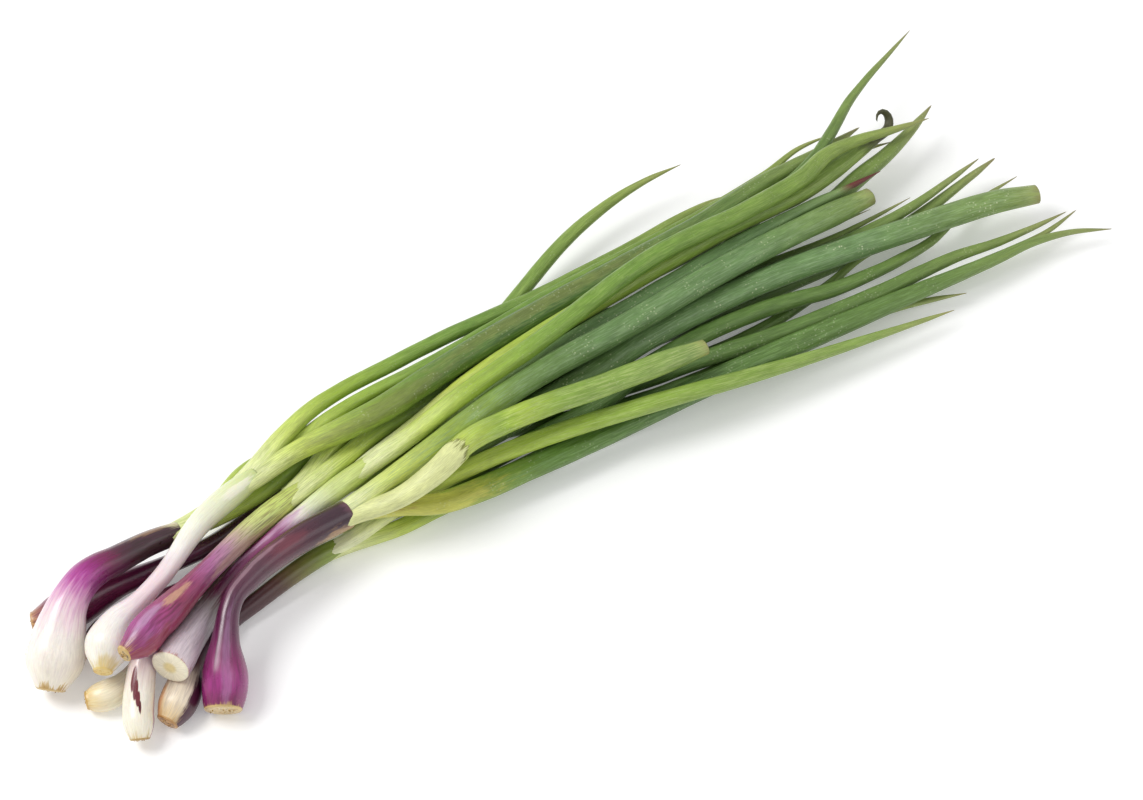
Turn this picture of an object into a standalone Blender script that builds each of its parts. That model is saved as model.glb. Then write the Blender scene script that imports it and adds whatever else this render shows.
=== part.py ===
"""A bunch of ten spring onions lying on its side.

Each onion is a bulb with its stem, and its leaves are pieces of their own that leave the stem's
mouth. Every piece is a tube along a route chosen by hand; the routes are then eased apart, so that
crossing pieces lie over each other and not through each other, and nothing is under the table.
"""

import bmesh
import bpy
import numpy as np
from mathutils import Matrix, Vector

MM = 0.001
WELD = 0.00001

STEM_STEP = 8.0  # length of one straight piece of a stem, in mm
BULB_STEP = 4.0  # the same inside the bulb, where the radius changes fast
BULB_LENGTH = 34.0  # how far from its root end a bulb reaches
LEAF_STEP = 20.0
STEM_SIDES_RES = 3  # bevel resolution: 10 sides
LEAF_SIDES_RES = 2  # bevel resolution: 8 sides

LEAF_BASE_FILL = 0.86  # of the largest equal circles that fit side by side in the stem's mouth
LEAF_BASE_LENGTH = 35.0  # how far a leaf takes to reach its full radius
LEAF_BASE_SPREAD = 0.55  # how far off the stem's middle it starts, as a share of the mouth's radius
MOUTH_GAP = 1.3  # from the stem's mouth to the first ring of its leaves

GAP = 0.6  # between neighbouring pieces
SINK = 0.55  # how much of a piece the table presses flat
SWEEPS = 900
SWEEPS_PER_SEARCH = 10
SEARCH_REACH = 14.0
EASE = np.array((-0.27, -0.51, 0.82))  # crossing pieces part mostly along this: up and to the front
EASE_SHARE = 0.85
STRIDE = 1.2  # how much of each push is taken at once
STIFFNESS = 0.5
HEIGHT_ROUNDS = 4
LEAST_AHEAD = 15.0  # how far a leaf's second ring is beyond its first

# Points of a stem are (x, y, z, radius), from the root end to the mouth, in mm.
# A leaf is (radius, end radius as a share of it, share of its length that narrows, (x, y, z) points).
ONIONS = {
    "onion_01": {
        "skin": "pink_skin",
        "stem": (
            (-260, -33, 7, 5.5), (-254, -25, 12, 12), (-247, -16, 18, 11), (-238, -7, 24, 8),
            (-227, 0, 25, 7), (-212, 3, 23, 6), (-198, 6, 20, 5.5), (-184, 7, 17, 5.5),
        ),
        "leaves": (
            (3.5, 0.15, 0.3, (
                (-175, 10, 16), (-143, 26, 13), (-122, 31, 9), (-38, 40, 6), (51, 77, 15),
                (75, 82, 17), (102, 83, 18),
            )),
            (3.9, 0.15, 0.3, (
                (-173, 8, 15), (-161, 6, 15), (-127, 10, 15), (-103, 16, 13), (-37, 25, 10),
                (7, 33, 9), (100, 42, 10), (140, 48, 11), (172, 55, 12), (199, 52, 13),
            )),
        ),
    },
    "onion_02": {
        "skin": "white_skin",
        "stem": (
            (-239, -44, 22, 3), (-233, -35, 23, 9.5), (-225, -27, 24, 7.5), (-214, -22, 25, 4.5),
            (-201, -16, 26, 4), (-175, 1, 27, 5), (-145, 12, 26, 6.5),
        ),
        "leaves": (
            (3.5, 0.2, 0.3, (
                (-140, 17, 27), (-104, 34, 24), (-72, 39, 22), (-35, 44, 19), (3, 46, 17),
                (64, 53, 15), (98, 59, 14), (120, 59, 13),
            )),
            (3.1, 0.15, 0.35, (
                (-135, 16, 24), (-106, 24, 23), (-60, 28, 23), (15, 40, 21), (104, 50, 20),
                (134, 56, 20), (155, 64, 19), (174, 66, 18),
            )),
            (6.0, 0.2, 0.4, (
                (-139, 9, 29), (-86, 12, 31), (-65, 16, 30), (12, 29, 27), (94, 42, 24),
                (125, 50, 23), (155, 55, 21), (187, 63, 19),
            )),
        ),
    },
    "onion_03": {
        "skin": "red_skin",
        "stem": (
            (-230, -48, 36, 3), (-220, -45, 33, 7.5), (-211, -40, 30, 7.5), (-186, -26, 26, 5),
            (-159, -12, 22, 5), (-129, 0, 20, 5.5),
        ),
        "leaves": (
            (4.0, 0.12, 0.45, (
                (-123, 5, 20), (-98, 19, 15), (-46, 27, 11), (-9, 22, 11), (82, 16, 13),
                (121, 34, 18), (163, 54, 23), (184, 70, 24), (238, 101, 23),
            )),
            (4.4, 0.25, 0.2, (
                (-123, 0, 20), (-91, 11, 16), (-41, 18, 13), (-3, 15, 12), (86, 19, 12),
                (148, 30, 14), (173, 39, 15), (196, 46, 16), (225, 60, 17),
            )),
        ),
    },
    "onion_04": {
        "skin": "red_skin",
        "stem": (
            (-216, -57, 27, 8), (-212, -53, 24, 8), (-204, -45, 20, 7), (-194, -36, 17, 6),
            (-169, -21, 18, 4), (-142, -14, 21, 4.5), (-127, -9, 21, 4.5), (-96, -2, 21, 6),
        ),
        "leaves": (
            (4.8, 0.3, 0.25, (
                (-89, 0, 23), (-38, 14, 28), (60, 29, 28), (146, 40, 23), (211, 61, 17),
            )),
            (4.3, 0.15, 0.3, (
                (-89, -6, 25), (-59, 0, 31), (-16, 8, 35), (60, 28, 35), (115, 34, 31),
                (143, 40, 29), (166, 50, 27), (183, 50, 25), (217, 50, 22),
            )),
        ),
    },
    "onion_05": {
        "skin": "red_skin",
        "stem": (
            (-201, -75, 7, 7.5), (-199, -69, 8, 9), (-195, -61, 12, 9.5), (-189, -51, 19, 6),
            (-178, -37, 25, 4.5), (-169, -32, 25, 5), (-144, -24, 24, 6), (-118, -21, 22, 6.5),
        ),
        "leaves": (
            (5.8, 0.75, 0.08, (
                (-110, -22, 27), (-61, -12, 28), (-37, -5, 28), (43, 6, 26), (117, 19, 23),
                (168, 24, 20),
            )),
            (4.3, 0.15, 0.4, (
                (-110, -19, 24), (-33, 4, 24), (50, 19, 24), (129, 31, 24), (151, 31, 24),
                (180, 34, 21),
            )),
            (5.5, 0.7, 0.12, (
                (-110, -29, 30), (-80, -23, 34), (-62, -17, 36), (-38, -16, 36), (4, -19, 34),
                (55, -21, 30),
            )),
            (5.6, 0.12, 0.55, (
                (-114, -29, 20), (-79, -29, 13), (-31, -29, 10), (51, -26, 8), (144, -26, 9),
                (213, -27, 9), (232, -27, 9), (263, -37, 8),
            )),
        ),
    },
    "onion_06": {
        "skin": "red_skin",
        "stem": (
            (-224, -69, 7, 4), (-219, -65, 8, 7), (-212, -59, 9, 8), (-204, -49, 8, 6.5),
            (-182, -36, 6, 4), (-167, -32, 6, 4), (-135, -25, 6, 4.5), (-120, -24, 6, 5),
        ),
        "leaves": (
            (4.1, 0.15, 0.55, (
                (-114, -24, 9), (-94, -20, 10), (-56, -21, 16), (-28, -24, 18), (23, -30, 18),
                (95, -37, 13), (173, -43, 9),
            )),
            (3.9, 0.15, 0.4, (
                (-113, -26, 6), (-66, -22, 6), (-4, -16, 6), (56, -17, 6), (115, -22, 8),
                (145, -25, 8), (184, -37, 8),
            )),
        ),
    },
    "onion_07": {
        "skin": "white_skin",
        "stem": (
            (-236, -71, 6, 3.5), (-234, -66, 8, 6), (-231, -58, 9, 6.5), (-220, -40, 16, 5.5),
            (-210, -29, 18, 4.5), (-196, -23, 17, 4), (-158, -4, 9, 4), (-136, 2, 7, 4.5),
        ),
        "leaves": (
            (3.8, 0.2, 0.35, (
                (-130, 4, 8), (-69, 12, 8), (94, 15, 10), (124, 12, 11), (179, 13, 13),
                (228, 23, 15),
            )),
            (3.8, 0.35, 0.3, (
                (-130, 1, 7), (-27, 7, 6), (20, 11, 6), (108, 11, 7), (166, 9, 10),
                (236, 21, 13),
            )),
        ),
    },
    "onion_08": {
        "skin": "white_skin",
        "stem": (
            (-249, -43, 6, 3), (-245, -44, 6, 5.5), (-239, -45, 6, 6.5), (-232, -44, 6, 5.5),
            (-221, -38, 6, 4), (-207, -31, 5, 3.5), (-170, -19, 5, 3.5), (-150, -14, 5, 4),
            (-128, -12, 5, 4),
        ),
        "leaves": (
            (5.9, 0.8, 0.1, (
                (-122, -12, 6), (6, -5, 14), (77, 3, 17), (191, -1, 15), (217, -3, 15),
                (240, -7, 14),
            )),
            (4.2, 0.12, 0.5, (
                (-121, -15, 5), (-32, -13, 6), (9, -11, 9), (44, -2, 12), (100, -2, 13),
                (129, -7, 13), (156, -7, 12), (185, -3, 10), (209, 5, 9), (242, 10, 8),
            )),
        ),
    },
    "onion_09": {
        "skin": "pink_skin",
        "stem": (
            (-255, 1, 8, 3.5), (-248, -1, 8, 7), (-237, -2, 8, 9), (-225, -2, 8, 7.5),
            (-214, -2, 8, 5.5), (-200, -3, 8, 4.5), (-168, -3, 7, 4), (-129, 7, 6, 4.5),
        ),
        "leaves": (
            (3.1, 0.15, 0.4, (
                (-122, 9, 5), (-93, 12, 5), (-21, 9, 5), (15, 2, 5), (62, -11, 5),
                (132, -6, 8), (156, 1, 8), (192, -1, 8),
            )),
            (2.7, 0.15, 0.4, (
                (-123, 9, 8), (-57, 16, 9), (65, 19, 10), (154, 16, 12), (189, 20, 12),
            )),
        ),
    },
    "onion_10": {
        "skin": "red_skin",
        "stem": (
            (-243, -24, 8, 3.5), (-237, -22, 9, 6), (-230, -18, 9, 7), (-220, -14, 8, 5.5),
            (-207, -11, 7, 4.5), (-179, -8, 5, 4), (-159, -2, 5, 4), (-118, 11, 5, 4.5),
        ),
        "leaves": (
            (4.0, 0.15, 0.35, (
                (-111, 13, 5), (-76, 17, 5), (-38, 14, 5), (31, -7, 6), (86, -18, 10),
                (141, -22, 12), (190, -20, 12), (216, -22, 12), (248, -21, 12),
            )),
            (3.3, 0.2, 0.35, (
                (-110, 10, 4), (-79, 12, 4), (-41, 8, 4), (30, -9, 4), (102, -17, 6),
                (208, -26, 10), (230, -26, 10), (254, -21, 10),
            )),
            (2.2, 0.15, 0.45, (
                (-111, 13, 8), (-36, 19, 8), (4, 19, 8), (44, 16, 8), (122, 25, 10),
                (169, 22, 13),
            )),
        ),
    },
}

# Base colour (linear) and roughness of each material.
MATERIALS = {
    "pink_skin": ((0.66, 0.24, 0.36), 0.38),
    "red_skin": ((0.26, 0.03, 0.10), 0.32),
    "white_skin": ((0.80, 0.76, 0.62), 0.38),
    "green_leaf": ((0.17, 0.33, 0.05), 0.45),
    "lime_leaf": ((0.40, 0.50, 0.10), 0.45),
}
LIME_LEAVES = {
    "onion_02_leaf_1", "onion_04_leaf_1", "onion_04_leaf_2", "onion_05_leaf_3", "onion_06_leaf_1",
}


class Tube:
    """One piece of the bunch: the points of its middle line in mm, and its radius at each."""

    def __init__(self, name, points, radii, material, resolution, mouth=None):
        self.name = name
        self.points = points
        self.radii = radii
        self.material = material
        self.resolution = resolution
        self.mouth = mouth  # the stem that a leaf leaves, or None


def clear_scene():
    for item in list(bpy.data.objects):
        bpy.data.objects.remove(item)


def make_material(name):
    colour, roughness = MATERIALS[name]
    material = bpy.data.materials.new(name)
    material.use_nodes = True
    shader = material.node_tree.nodes["Principled BSDF"]
    shader.inputs["Base Color"].default_value = (*colour, 1.0)
    shader.inputs["Roughness"].default_value = roughness
    return material


def lengths_along(points):
    """Distance of each point from the first, along the line."""
    steps = np.linalg.norm(np.diff(points[:, :3], axis=0), axis=1)
    return np.concatenate(([0.0], np.cumsum(steps)))


def smooth_through(points, at):
    """A cubic through the points, read at the given distances along them."""
    run = lengths_along(points)
    slope = np.gradient(points, run, axis=0)
    before = np.clip(np.searchsorted(run, at, side="right") - 1, 0, len(points) - 2)
    span = (run[before + 1] - run[before])[:, None]
    u = (at - run[before])[:, None] / span
    start = (2 * u**3 - 3 * u**2 + 1) * points[before] + (u**3 - 2 * u**2 + u) * span * slope[before]
    end = (3 * u**2 - 2 * u**3) * points[before + 1] + (u**3 - u**2) * span * slope[before + 1]
    return start + end


def even_steps(start, end, step):
    return np.linspace(start, end, max(2, round((end - start) / step) + 1))


def make_stem(name, onion):
    points = np.array(onion["stem"], float)
    length = lengths_along(points)[-1]
    bulb = even_steps(0.0, BULB_LENGTH, BULB_STEP)
    stem = even_steps(BULB_LENGTH, length, STEM_STEP)
    rings = smooth_through(points, np.concatenate((bulb[:-1], stem)))
    return Tube(f"{name}_bulb", rings[:, :3], rings[:, 3], onion["skin"], STEM_SIDES_RES)


def base_radius(mouth_radius, leaf_count):
    """The radius at which that many leaves fit side by side in the mouth."""
    wedge = np.sin(np.pi / leaf_count)
    return LEAF_BASE_FILL * mouth_radius * wedge / (1 + wedge)


def leaf_radii(at, base, radius, end_share, narrow_share):
    """Narrow at the base, full in the middle, and narrowing again to the tip."""
    grown = np.clip(at / LEAF_BASE_LENGTH, 0.0, 1.0)
    widening = base + (radius - base) * np.sin(grown * np.pi / 2)
    left = np.clip((at[-1] - at) / (at[-1] * narrow_share), 0.0, 1.0)
    narrowing = end_share + (1.0 - end_share) * np.sin(left * np.pi / 2)
    return widening * narrowing


def make_leaf(name, stem, shape, leaf_count):
    radius, end_share, narrow_share, route = shape
    route = np.array(route, float)
    mouth = stem.points[-1]
    along = stem.points[-1] - stem.points[-2]
    along = along / np.linalg.norm(along)
    aside = route[0] - mouth
    aside = aside - along * aside.dot(along)
    reach = stem.radii[-1] * LEAF_BASE_SPREAD
    aside = aside * reach / max(np.linalg.norm(aside), reach)
    first = mouth + aside + along * MOUTH_GAP
    ahead = (route - mouth) @ along > LEAF_STEP
    points = np.vstack((first, first + along * LEAF_STEP / 2 + aside * 0.3, route[ahead]))
    at = even_steps(0.0, lengths_along(points)[-1], LEAF_STEP)
    rings = smooth_through(points, at)
    material = "lime_leaf" if name in LIME_LEAVES else "green_leaf"
    base = base_radius(stem.radii[-1], leaf_count)
    radii = leaf_radii(at, base, radius, end_share, narrow_share)
    return Tube(name, rings, radii, material, LEAF_SIDES_RES, stem)


def make_tubes():
    tubes = []
    for name, onion in ONIONS.items():
        stem = make_stem(name, onion)
        tubes.append(stem)
        for number, shape in enumerate(onion["leaves"], 1):
            tubes.append(make_leaf(f"{name}_leaf_{number}", stem, shape, len(onion["leaves"])))
    return tubes


class Easing:
    """Moves the tubes' points until no two pieces share the same place."""

    def __init__(self, tubes):
        self.tubes = tubes
        counts = [len(tube.points) for tube in tubes]
        self.first = np.concatenate(([0], np.cumsum(counts)))
        self.rest = np.vstack([tube.points for tube in tubes])
        self.points = self.rest.copy()
        self.radii = np.concatenate([tube.radii for tube in tubes])
        self.owner = np.repeat(np.arange(len(tubes)), counts)
        starts = np.arange(len(self.points) - 1)
        self.pieces = starts[self.owner[starts] == self.owner[starts + 1]]
        inner = starts[1:]
        same = (self.owner[inner - 1] == self.owner[inner]) & (self.owner[inner + 1] == self.owner[inner])
        self.inner = inner[same]
        self.height = self.rest_height()
        self.family = np.repeat([tubes.index(tube.mouth or tube) for tube in tubes], counts)

    def near(self):
        """Pairs of straight pieces of different tubes that are close enough to touch soon."""
        middle = (self.points[self.pieces] + self.points[self.pieces + 1]) / 2
        half = np.linalg.norm(self.points[self.pieces + 1] - self.points[self.pieces], axis=1) / 2
        apart = np.linalg.norm(middle[:, None] - middle[None], axis=2)
        close = apart < half[:, None] + half[None] + SEARCH_REACH
        a, b = np.nonzero(np.triu(close, 1))
        a, b = self.pieces[a], self.pieces[b]
        own_stem = (self.family[a] == self.owner[b]) | (self.family[b] == self.owner[a])
        return a[~own_stem], b[~own_stem]

    def closest(self, a, b):
        """Where two straight pieces come closest: shares along each, and the line between."""
        p, q = self.points[a], self.points[b]
        d, e = self.points[a + 1] - p, self.points[b + 1] - q
        r = p - q
        dd, ee, de = (d * d).sum(1), (e * e).sum(1), (d * e).sum(1)
        dr, er = (d * r).sum(1), (e * r).sum(1)
        s = np.clip((de * er - dr * ee) / np.maximum(dd * ee - de * de, 1e-6), 0.0, 1.0)
        t = np.clip((de * s + er) / ee, 0.0, 1.0)
        s = np.clip((de * t - dr) / dd, 0.0, 1.0)
        between = r + d * s[:, None] - e * t[:, None]
        return s, t, between

    def rest_height(self):
        """How far over the others each point starts, evened out along its tube."""
        height = self.rest @ EASE
        for _ in range(HEIGHT_ROUNDS):
            height[self.inner] = (height[self.inner - 1] + height[self.inner] + height[self.inner + 1]) / 3
        return height

    def push(self, a, b, ease_share):
        """How far each point has to move, from all the pairs that touch it."""
        s, t, between = self.closest(a, b)
        apart = np.maximum(np.linalg.norm(between, axis=1), 1e-6)
        one = self.radii[a] * (1 - s) + self.radii[a + 1] * s
        other = self.radii[b] * (1 - t) + self.radii[b + 1] * t
        depth = np.maximum(one + other + GAP - apart, 0.0)
        straight = between / apart[:, None]
        sign = np.where(self.height[a] >= self.height[b], 1.0, -1.0)[:, None]
        way = ease_share * sign * EASE + (1 - ease_share) * straight
        move = way * depth[:, None]
        total = np.zeros_like(self.points)
        weight = np.full(len(self.points), 1e-9)
        for index, share, side in ((a, 1 - s, 0.5), (a + 1, s, 0.5), (b, 1 - t, -0.5), (b + 1, t, -0.5)):
            share = share * (depth > 0)
            np.add.at(total, index, move * (share * side)[:, None])
            np.add.at(weight, index, share)
        return total / np.maximum(weight, 1.0)[:, None]

    def stiffen(self, share):
        """Shares each point's move with its neighbours along the tube, so that the route stays smooth."""
        moved = self.points - self.rest
        middle = (moved[self.inner - 1] + moved[self.inner + 1]) / 2
        moved[self.inner] += share * (middle - moved[self.inner])
        self.points = self.rest + moved

    def hold_leaves(self):
        """Each leaf starts in its stem's mouth and leaves it straight ahead."""
        for i, tube in enumerate(self.tubes):
            if not tube.mouth:
                continue
            end = self.first[self.tubes.index(tube.mouth) + 1] - 1
            mouth = self.points[end]
            along = mouth - self.points[end - 1]
            along = along / np.linalg.norm(along)
            base = self.first[i]
            aside = self.points[base] - mouth
            aside = aside - along * aside.dot(along)
            reach = self.radii[end] - self.radii[base]
            aside = aside * min(1.0, reach / max(np.linalg.norm(aside), 1e-6))
            self.points[base] = mouth + along * MOUTH_GAP + aside
            ahead = (self.points[base + 1] - self.points[base]).dot(along)
            self.points[base + 1] += along * max(0.0, LEAST_AHEAD - ahead)

    def hold_up(self):
        """Nothing goes under the table: what would is moved back the way it is eased."""
        lack = np.maximum(self.radii - SINK - self.points[:, 2], 0.0)
        self.points += EASE * (lack / EASE[2])[:, None]

    def run(self):
        for sweep in range(SWEEPS):
            if sweep % SWEEPS_PER_SEARCH == 0:
                a, b = self.near()
            left = min(1.0, 1.6 * (1 - sweep / SWEEPS))
            self.points += self.push(a, b, EASE_SHARE * left) * STRIDE
            self.stiffen(STIFFNESS * left)
            self.hold_leaves()
            self.hold_up()
        for i, tube in enumerate(self.tubes):
            tube.points = self.points[self.first[i]:self.first[i + 1]]


def build_curve(tube):
    """A curve object whose bevel is the tube, with its ends capped."""
    curve = bpy.data.curves.new(tube.name, "CURVE")
    curve.dimensions = "3D"
    curve.twist_mode = "Z_UP"
    curve.bevel_depth = MM
    curve.bevel_resolution = tube.resolution
    curve.use_fill_caps = True
    spline = curve.splines.new("POLY")
    spline.points.add(len(tube.points) - 1)
    for knot, place, radius in zip(spline.points, tube.points, tube.radii):
        knot.co = (*(Vector(place) * MM), 1.0)
        knot.radius = radius
    guide = bpy.data.objects.new(f"{tube.name}_guide", curve)
    bpy.context.scene.collection.objects.link(guide)
    return guide


def solid_from(guide, name):
    """The curve's solid as a mesh, with its caps welded and its underside pressed flat by the table."""
    graph = bpy.context.evaluated_depsgraph_get()
    mesh = bpy.data.meshes.new_from_object(guide.evaluated_get(graph))
    mesh.name = name
    solid = bmesh.new()
    solid.from_mesh(mesh)
    bmesh.ops.remove_doubles(solid, verts=solid.verts, dist=WELD)
    for vert in solid.verts:
        vert.co.z = max(vert.co.z, 0.0)
    bmesh.ops.recalc_face_normals(solid, faces=solid.faces)
    solid.to_mesh(mesh)
    solid.free()
    bpy.data.objects.remove(guide)
    return mesh


def centre_on_table(meshes):
    """Moves every mesh so that the bunch's box is centred over the origin."""
    corners = np.array([vert.co for mesh in meshes for vert in mesh.vertices])
    middle = (corners.min(axis=0) + corners.max(axis=0)) / 2
    move = Matrix.Translation((-middle[0], -middle[1], 0.0))
    for mesh in meshes:
        mesh.transform(move)


def main():
    clear_scene()
    bunch = bpy.data.collections.new("spring_onion_bunch")
    bpy.context.scene.collection.children.link(bunch)
    materials = {name: make_material(name) for name in MATERIALS}
    tubes = make_tubes()
    Easing(tubes).run()
    meshes = [solid_from(build_curve(tube), tube.name) for tube in tubes]
    centre_on_table(meshes)
    for tube, mesh in zip(tubes, meshes):
        mesh.materials.clear()
        mesh.materials.append(materials[tube.material])
        bunch.objects.link(bpy.data.objects.new(tube.name, mesh))


main()
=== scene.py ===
"""Looks for a bunch of red spring onions lying on a pale table.

Each onion is a stem that swells into a bulb at its root end and opens at its
mouth into two to four hollow leaves. The fixed frame gives the place of every
stem and leaf; this script grows the skins, ribs, root plates and torn sheath
edges along those places, and paints them.
"""

import logging
from dataclasses import dataclass, field
from enum import Enum
from functools import partial, reduce

import bmesh
import bpy
import numpy as np
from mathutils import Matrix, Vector


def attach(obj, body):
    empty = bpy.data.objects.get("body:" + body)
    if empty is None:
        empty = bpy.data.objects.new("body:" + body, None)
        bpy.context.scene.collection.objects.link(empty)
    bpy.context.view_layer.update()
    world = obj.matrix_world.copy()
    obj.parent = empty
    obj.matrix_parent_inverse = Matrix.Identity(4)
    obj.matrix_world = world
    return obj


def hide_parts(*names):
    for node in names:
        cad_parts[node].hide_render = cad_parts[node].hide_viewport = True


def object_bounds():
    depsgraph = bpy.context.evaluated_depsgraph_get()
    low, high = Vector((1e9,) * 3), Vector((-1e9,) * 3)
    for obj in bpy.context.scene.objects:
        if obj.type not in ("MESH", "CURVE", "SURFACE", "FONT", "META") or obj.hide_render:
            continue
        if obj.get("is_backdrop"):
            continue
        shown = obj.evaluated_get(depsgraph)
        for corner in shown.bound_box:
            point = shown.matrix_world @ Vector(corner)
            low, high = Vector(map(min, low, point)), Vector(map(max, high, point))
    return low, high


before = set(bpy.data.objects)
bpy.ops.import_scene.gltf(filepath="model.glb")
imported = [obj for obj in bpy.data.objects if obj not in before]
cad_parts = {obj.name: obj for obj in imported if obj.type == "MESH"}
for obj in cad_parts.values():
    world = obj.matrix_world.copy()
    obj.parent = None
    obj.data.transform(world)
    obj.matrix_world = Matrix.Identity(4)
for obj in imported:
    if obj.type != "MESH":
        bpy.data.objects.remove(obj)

LOG = logging.getLogger("spring_onions")
MM = 0.001
BODY = "root"
# How far the skins stay off the floor, in metres.
FLOOR_GAP = 0.02 * MM
# How deep a leaf is tucked into its stem, in millimetres.
TUCK = 28.0
# A colour stop at or above this is a share of the length, in thousandths added to it.
SHARES = 1000
# The paint of the inner walls.
HOLLOW = "a9b56a"
# The leaves in the paler green slot.
LIME_NODES = (
    "onion_02_leaf_1", "onion_04_leaf_1", "onion_04_leaf_2", "onion_05_leaf_3",
    "onion_06_leaf_1",
)
# What a socket takes: another node's output, or a fixed number, vector or colour.
Value = bpy.types.NodeSocket | float | int | tuple
Sockets = list[bpy.types.NodeSocket]
Place = tuple[float, float, float]


class Part(Enum):
    """Which part of an onion a piece is, with the sides of its CAD tube."""

    STEM = 10
    LEAF = 8


class End(Enum):
    """How a leaf ends."""

    POINTED = "pointed"
    BLUNT = "blunt"
    CURLED = "curled"


def paint(code: str) -> tuple[float, float, float, float]:
    """Turns a paint code into linear colour.

    Args:
        code: Six hexadecimal digits, as on a paint chart.

    Returns:
        Red, green, blue and a full alpha.
    """
    shares = [int(code[i : i + 2], 16) / 255 for i in (0, 2, 4)]
    linear = [s / 12.92 if s <= 0.04045 else ((s + 0.055) / 1.055) ** 2.4 for s in shares]
    return (*linear, 1.0)


class Wiring:
    """Adds nodes to a geometry or material tree and joins them."""

    def __init__(self, tree: bpy.types.NodeTree) -> None:
        """Keeps the tree that the nodes go in."""
        self.tree = tree

    def join(self, value: Value, socket: bpy.types.NodeSocket) -> None:
        """Links an output to a socket, or sets the socket's own value.

        Args:
            value: An output, or a fixed number, vector or colour.
            socket: The input that takes it.
        """
        if isinstance(value, bpy.types.NodeSocket):
            self.tree.links.new(value, socket)
        else:
            socket.default_value = value

    def node(
        self, kind: str, inputs: dict[str | int, Value] | None = None, **settings: str | bool
    ) -> bpy.types.Node:
        """Adds a node.

        Args:
            kind: The node's type name.
            inputs: Values or outputs for its sockets, by name or number.
            **settings: The node's own options.

        Returns:
            The new node.
        """
        made = self.tree.nodes.new(kind)
        for name, value in settings.items():
            setattr(made, name, value)
        for socket, value in (inputs or {}).items():
            self.join(value, made.inputs[socket])
        return made

    def math(self, operation: str, *values: Value) -> bpy.types.NodeSocket:
        """Returns the result of a sum on one to three numbers."""
        made = self.node("ShaderNodeMath", dict(enumerate(values)), operation=operation)
        return made.outputs[0]

    def less(self, value: Value, taken: Value) -> bpy.types.NodeSocket:
        """Returns a number less another."""
        return self.math("SUBTRACT", value, taken)

    def total(self, *values: Value) -> bpy.types.NodeSocket:
        """Returns the sum of two or more numbers, added from the left."""
        return reduce(partial(self.math, "ADD"), values)

    def product(self, *values: Value) -> bpy.types.NodeSocket:
        """Returns the product of two or more numbers, taken from the left."""
        return reduce(partial(self.math, "MULTIPLY"), values)

    def vector(self, operation: str, *values: Value) -> bpy.types.NodeSocket:
        """Works on vectors.

        Args:
            operation: The node's operation.
            *values: The vectors that it takes.

        Returns:
            The result: a number for a product or a length, else a vector.
        """
        made = self.node("ShaderNodeVectorMath", dict(enumerate(values)), operation=operation)
        is_number = operation in ("DOT_PRODUCT", "LENGTH", "DISTANCE")
        return made.outputs["Value" if is_number else "Vector"]

    def scaled(self, vector: Value, share: Value) -> bpy.types.NodeSocket:
        """Returns a vector times a number."""
        made = self.node("ShaderNodeVectorMath", {0: vector, "Scale": share}, operation="SCALE")
        return made.outputs[0]

    def combined(self, x: Value, y: Value, z: Value) -> bpy.types.NodeSocket:
        """Returns the vector of three numbers."""
        return self.node("ShaderNodeCombineXYZ", {0: x, 1: y, 2: z}).outputs[0]

    def split(self, vector: Value) -> Sockets:
        """Returns the three numbers of a vector."""
        return list(self.node("ShaderNodeSeparateXYZ", {0: vector}).outputs)

    def noise(self, at: Value, scale: float, detail: float = 2.0) -> bpy.types.NodeSocket:
        """Returns a smooth random number about 0.5 at a place.

        Args:
            at: Where to read the noise.
            scale: How many bumps there are in one unit.
            detail: How many finer layers are added.

        Returns:
            The noise's output.
        """
        made = self.node("ShaderNodeTexNoise", {"Vector": at, "Scale": scale, "Detail": detail})
        return made.outputs[0]

    def eased(self, value: Value, low: Value, high: Value) -> bpy.types.NodeSocket:
        """Makes a smooth step.

        Args:
            value: The number that decides.
            low: Where the rise starts.
            high: Where it ends.

        Returns:
            0 below low, 1 above high, and a smooth rise between.
        """
        made = self.node(
            "ShaderNodeMapRange",
            {0: value, 1: low, 2: high, 3: 0.0, 4: 1.0},
            interpolation_type="SMOOTHSTEP",
        )
        return made.outputs[0]


@dataclass
class Centreline:
    """The middle and girth of a tube, in millimetres, read from the frame.

    Attributes:
        points: The middles, from the root end onwards.
        girths: The radius at each.
    """

    points: np.ndarray
    girths: np.ndarray

    @property
    def runs(self) -> np.ndarray:
        """The distance of each middle from the first."""
        steps = np.linalg.norm(np.diff(self.points, axis=0), axis=1)
        return np.concatenate(([0.0], np.cumsum(steps)))

    @property
    def length(self) -> float:
        """The tube's whole length."""
        return float(self.runs[-1])

    def at(self, runs: np.ndarray) -> "Centreline":
        """Reads the tube at other places, on one smooth curve.

        Args:
            runs: Distances from the root end; those outside go straight on.

        Returns:
            The tube at those places.
        """
        known = self.runs
        rows = np.column_stack((self.points, self.girths))
        slopes = np.gradient(rows, known, axis=0)
        inside = np.clip(runs, 0.0, known[-1])
        span = np.clip(np.searchsorted(known, inside, side="right") - 1, 0, len(known) - 2)
        gap = (known[span + 1] - known[span])[:, None]
        t = ((inside - known[span])[:, None]) / gap
        start, stop = rows[span], rows[span + 1]
        into, out = slopes[span] * gap, slopes[span + 1] * gap
        curve = (
            (2 * t**3 - 3 * t**2 + 1) * start
            + (t**3 - 2 * t**2 + t) * into
            + (3 * t**2 - 2 * t**3) * stop
            + (t**3 - t**2) * out
        )
        beyond = (runs - inside)[:, None]
        ends = np.where(beyond < 0, slopes[:1, :3], slopes[-1:, :3])
        places = curve[:, :3] + beyond * ends / np.linalg.norm(ends, axis=1)[:, None]
        return Centreline(places, np.maximum(curve[:, 3], 0.0))


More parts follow.
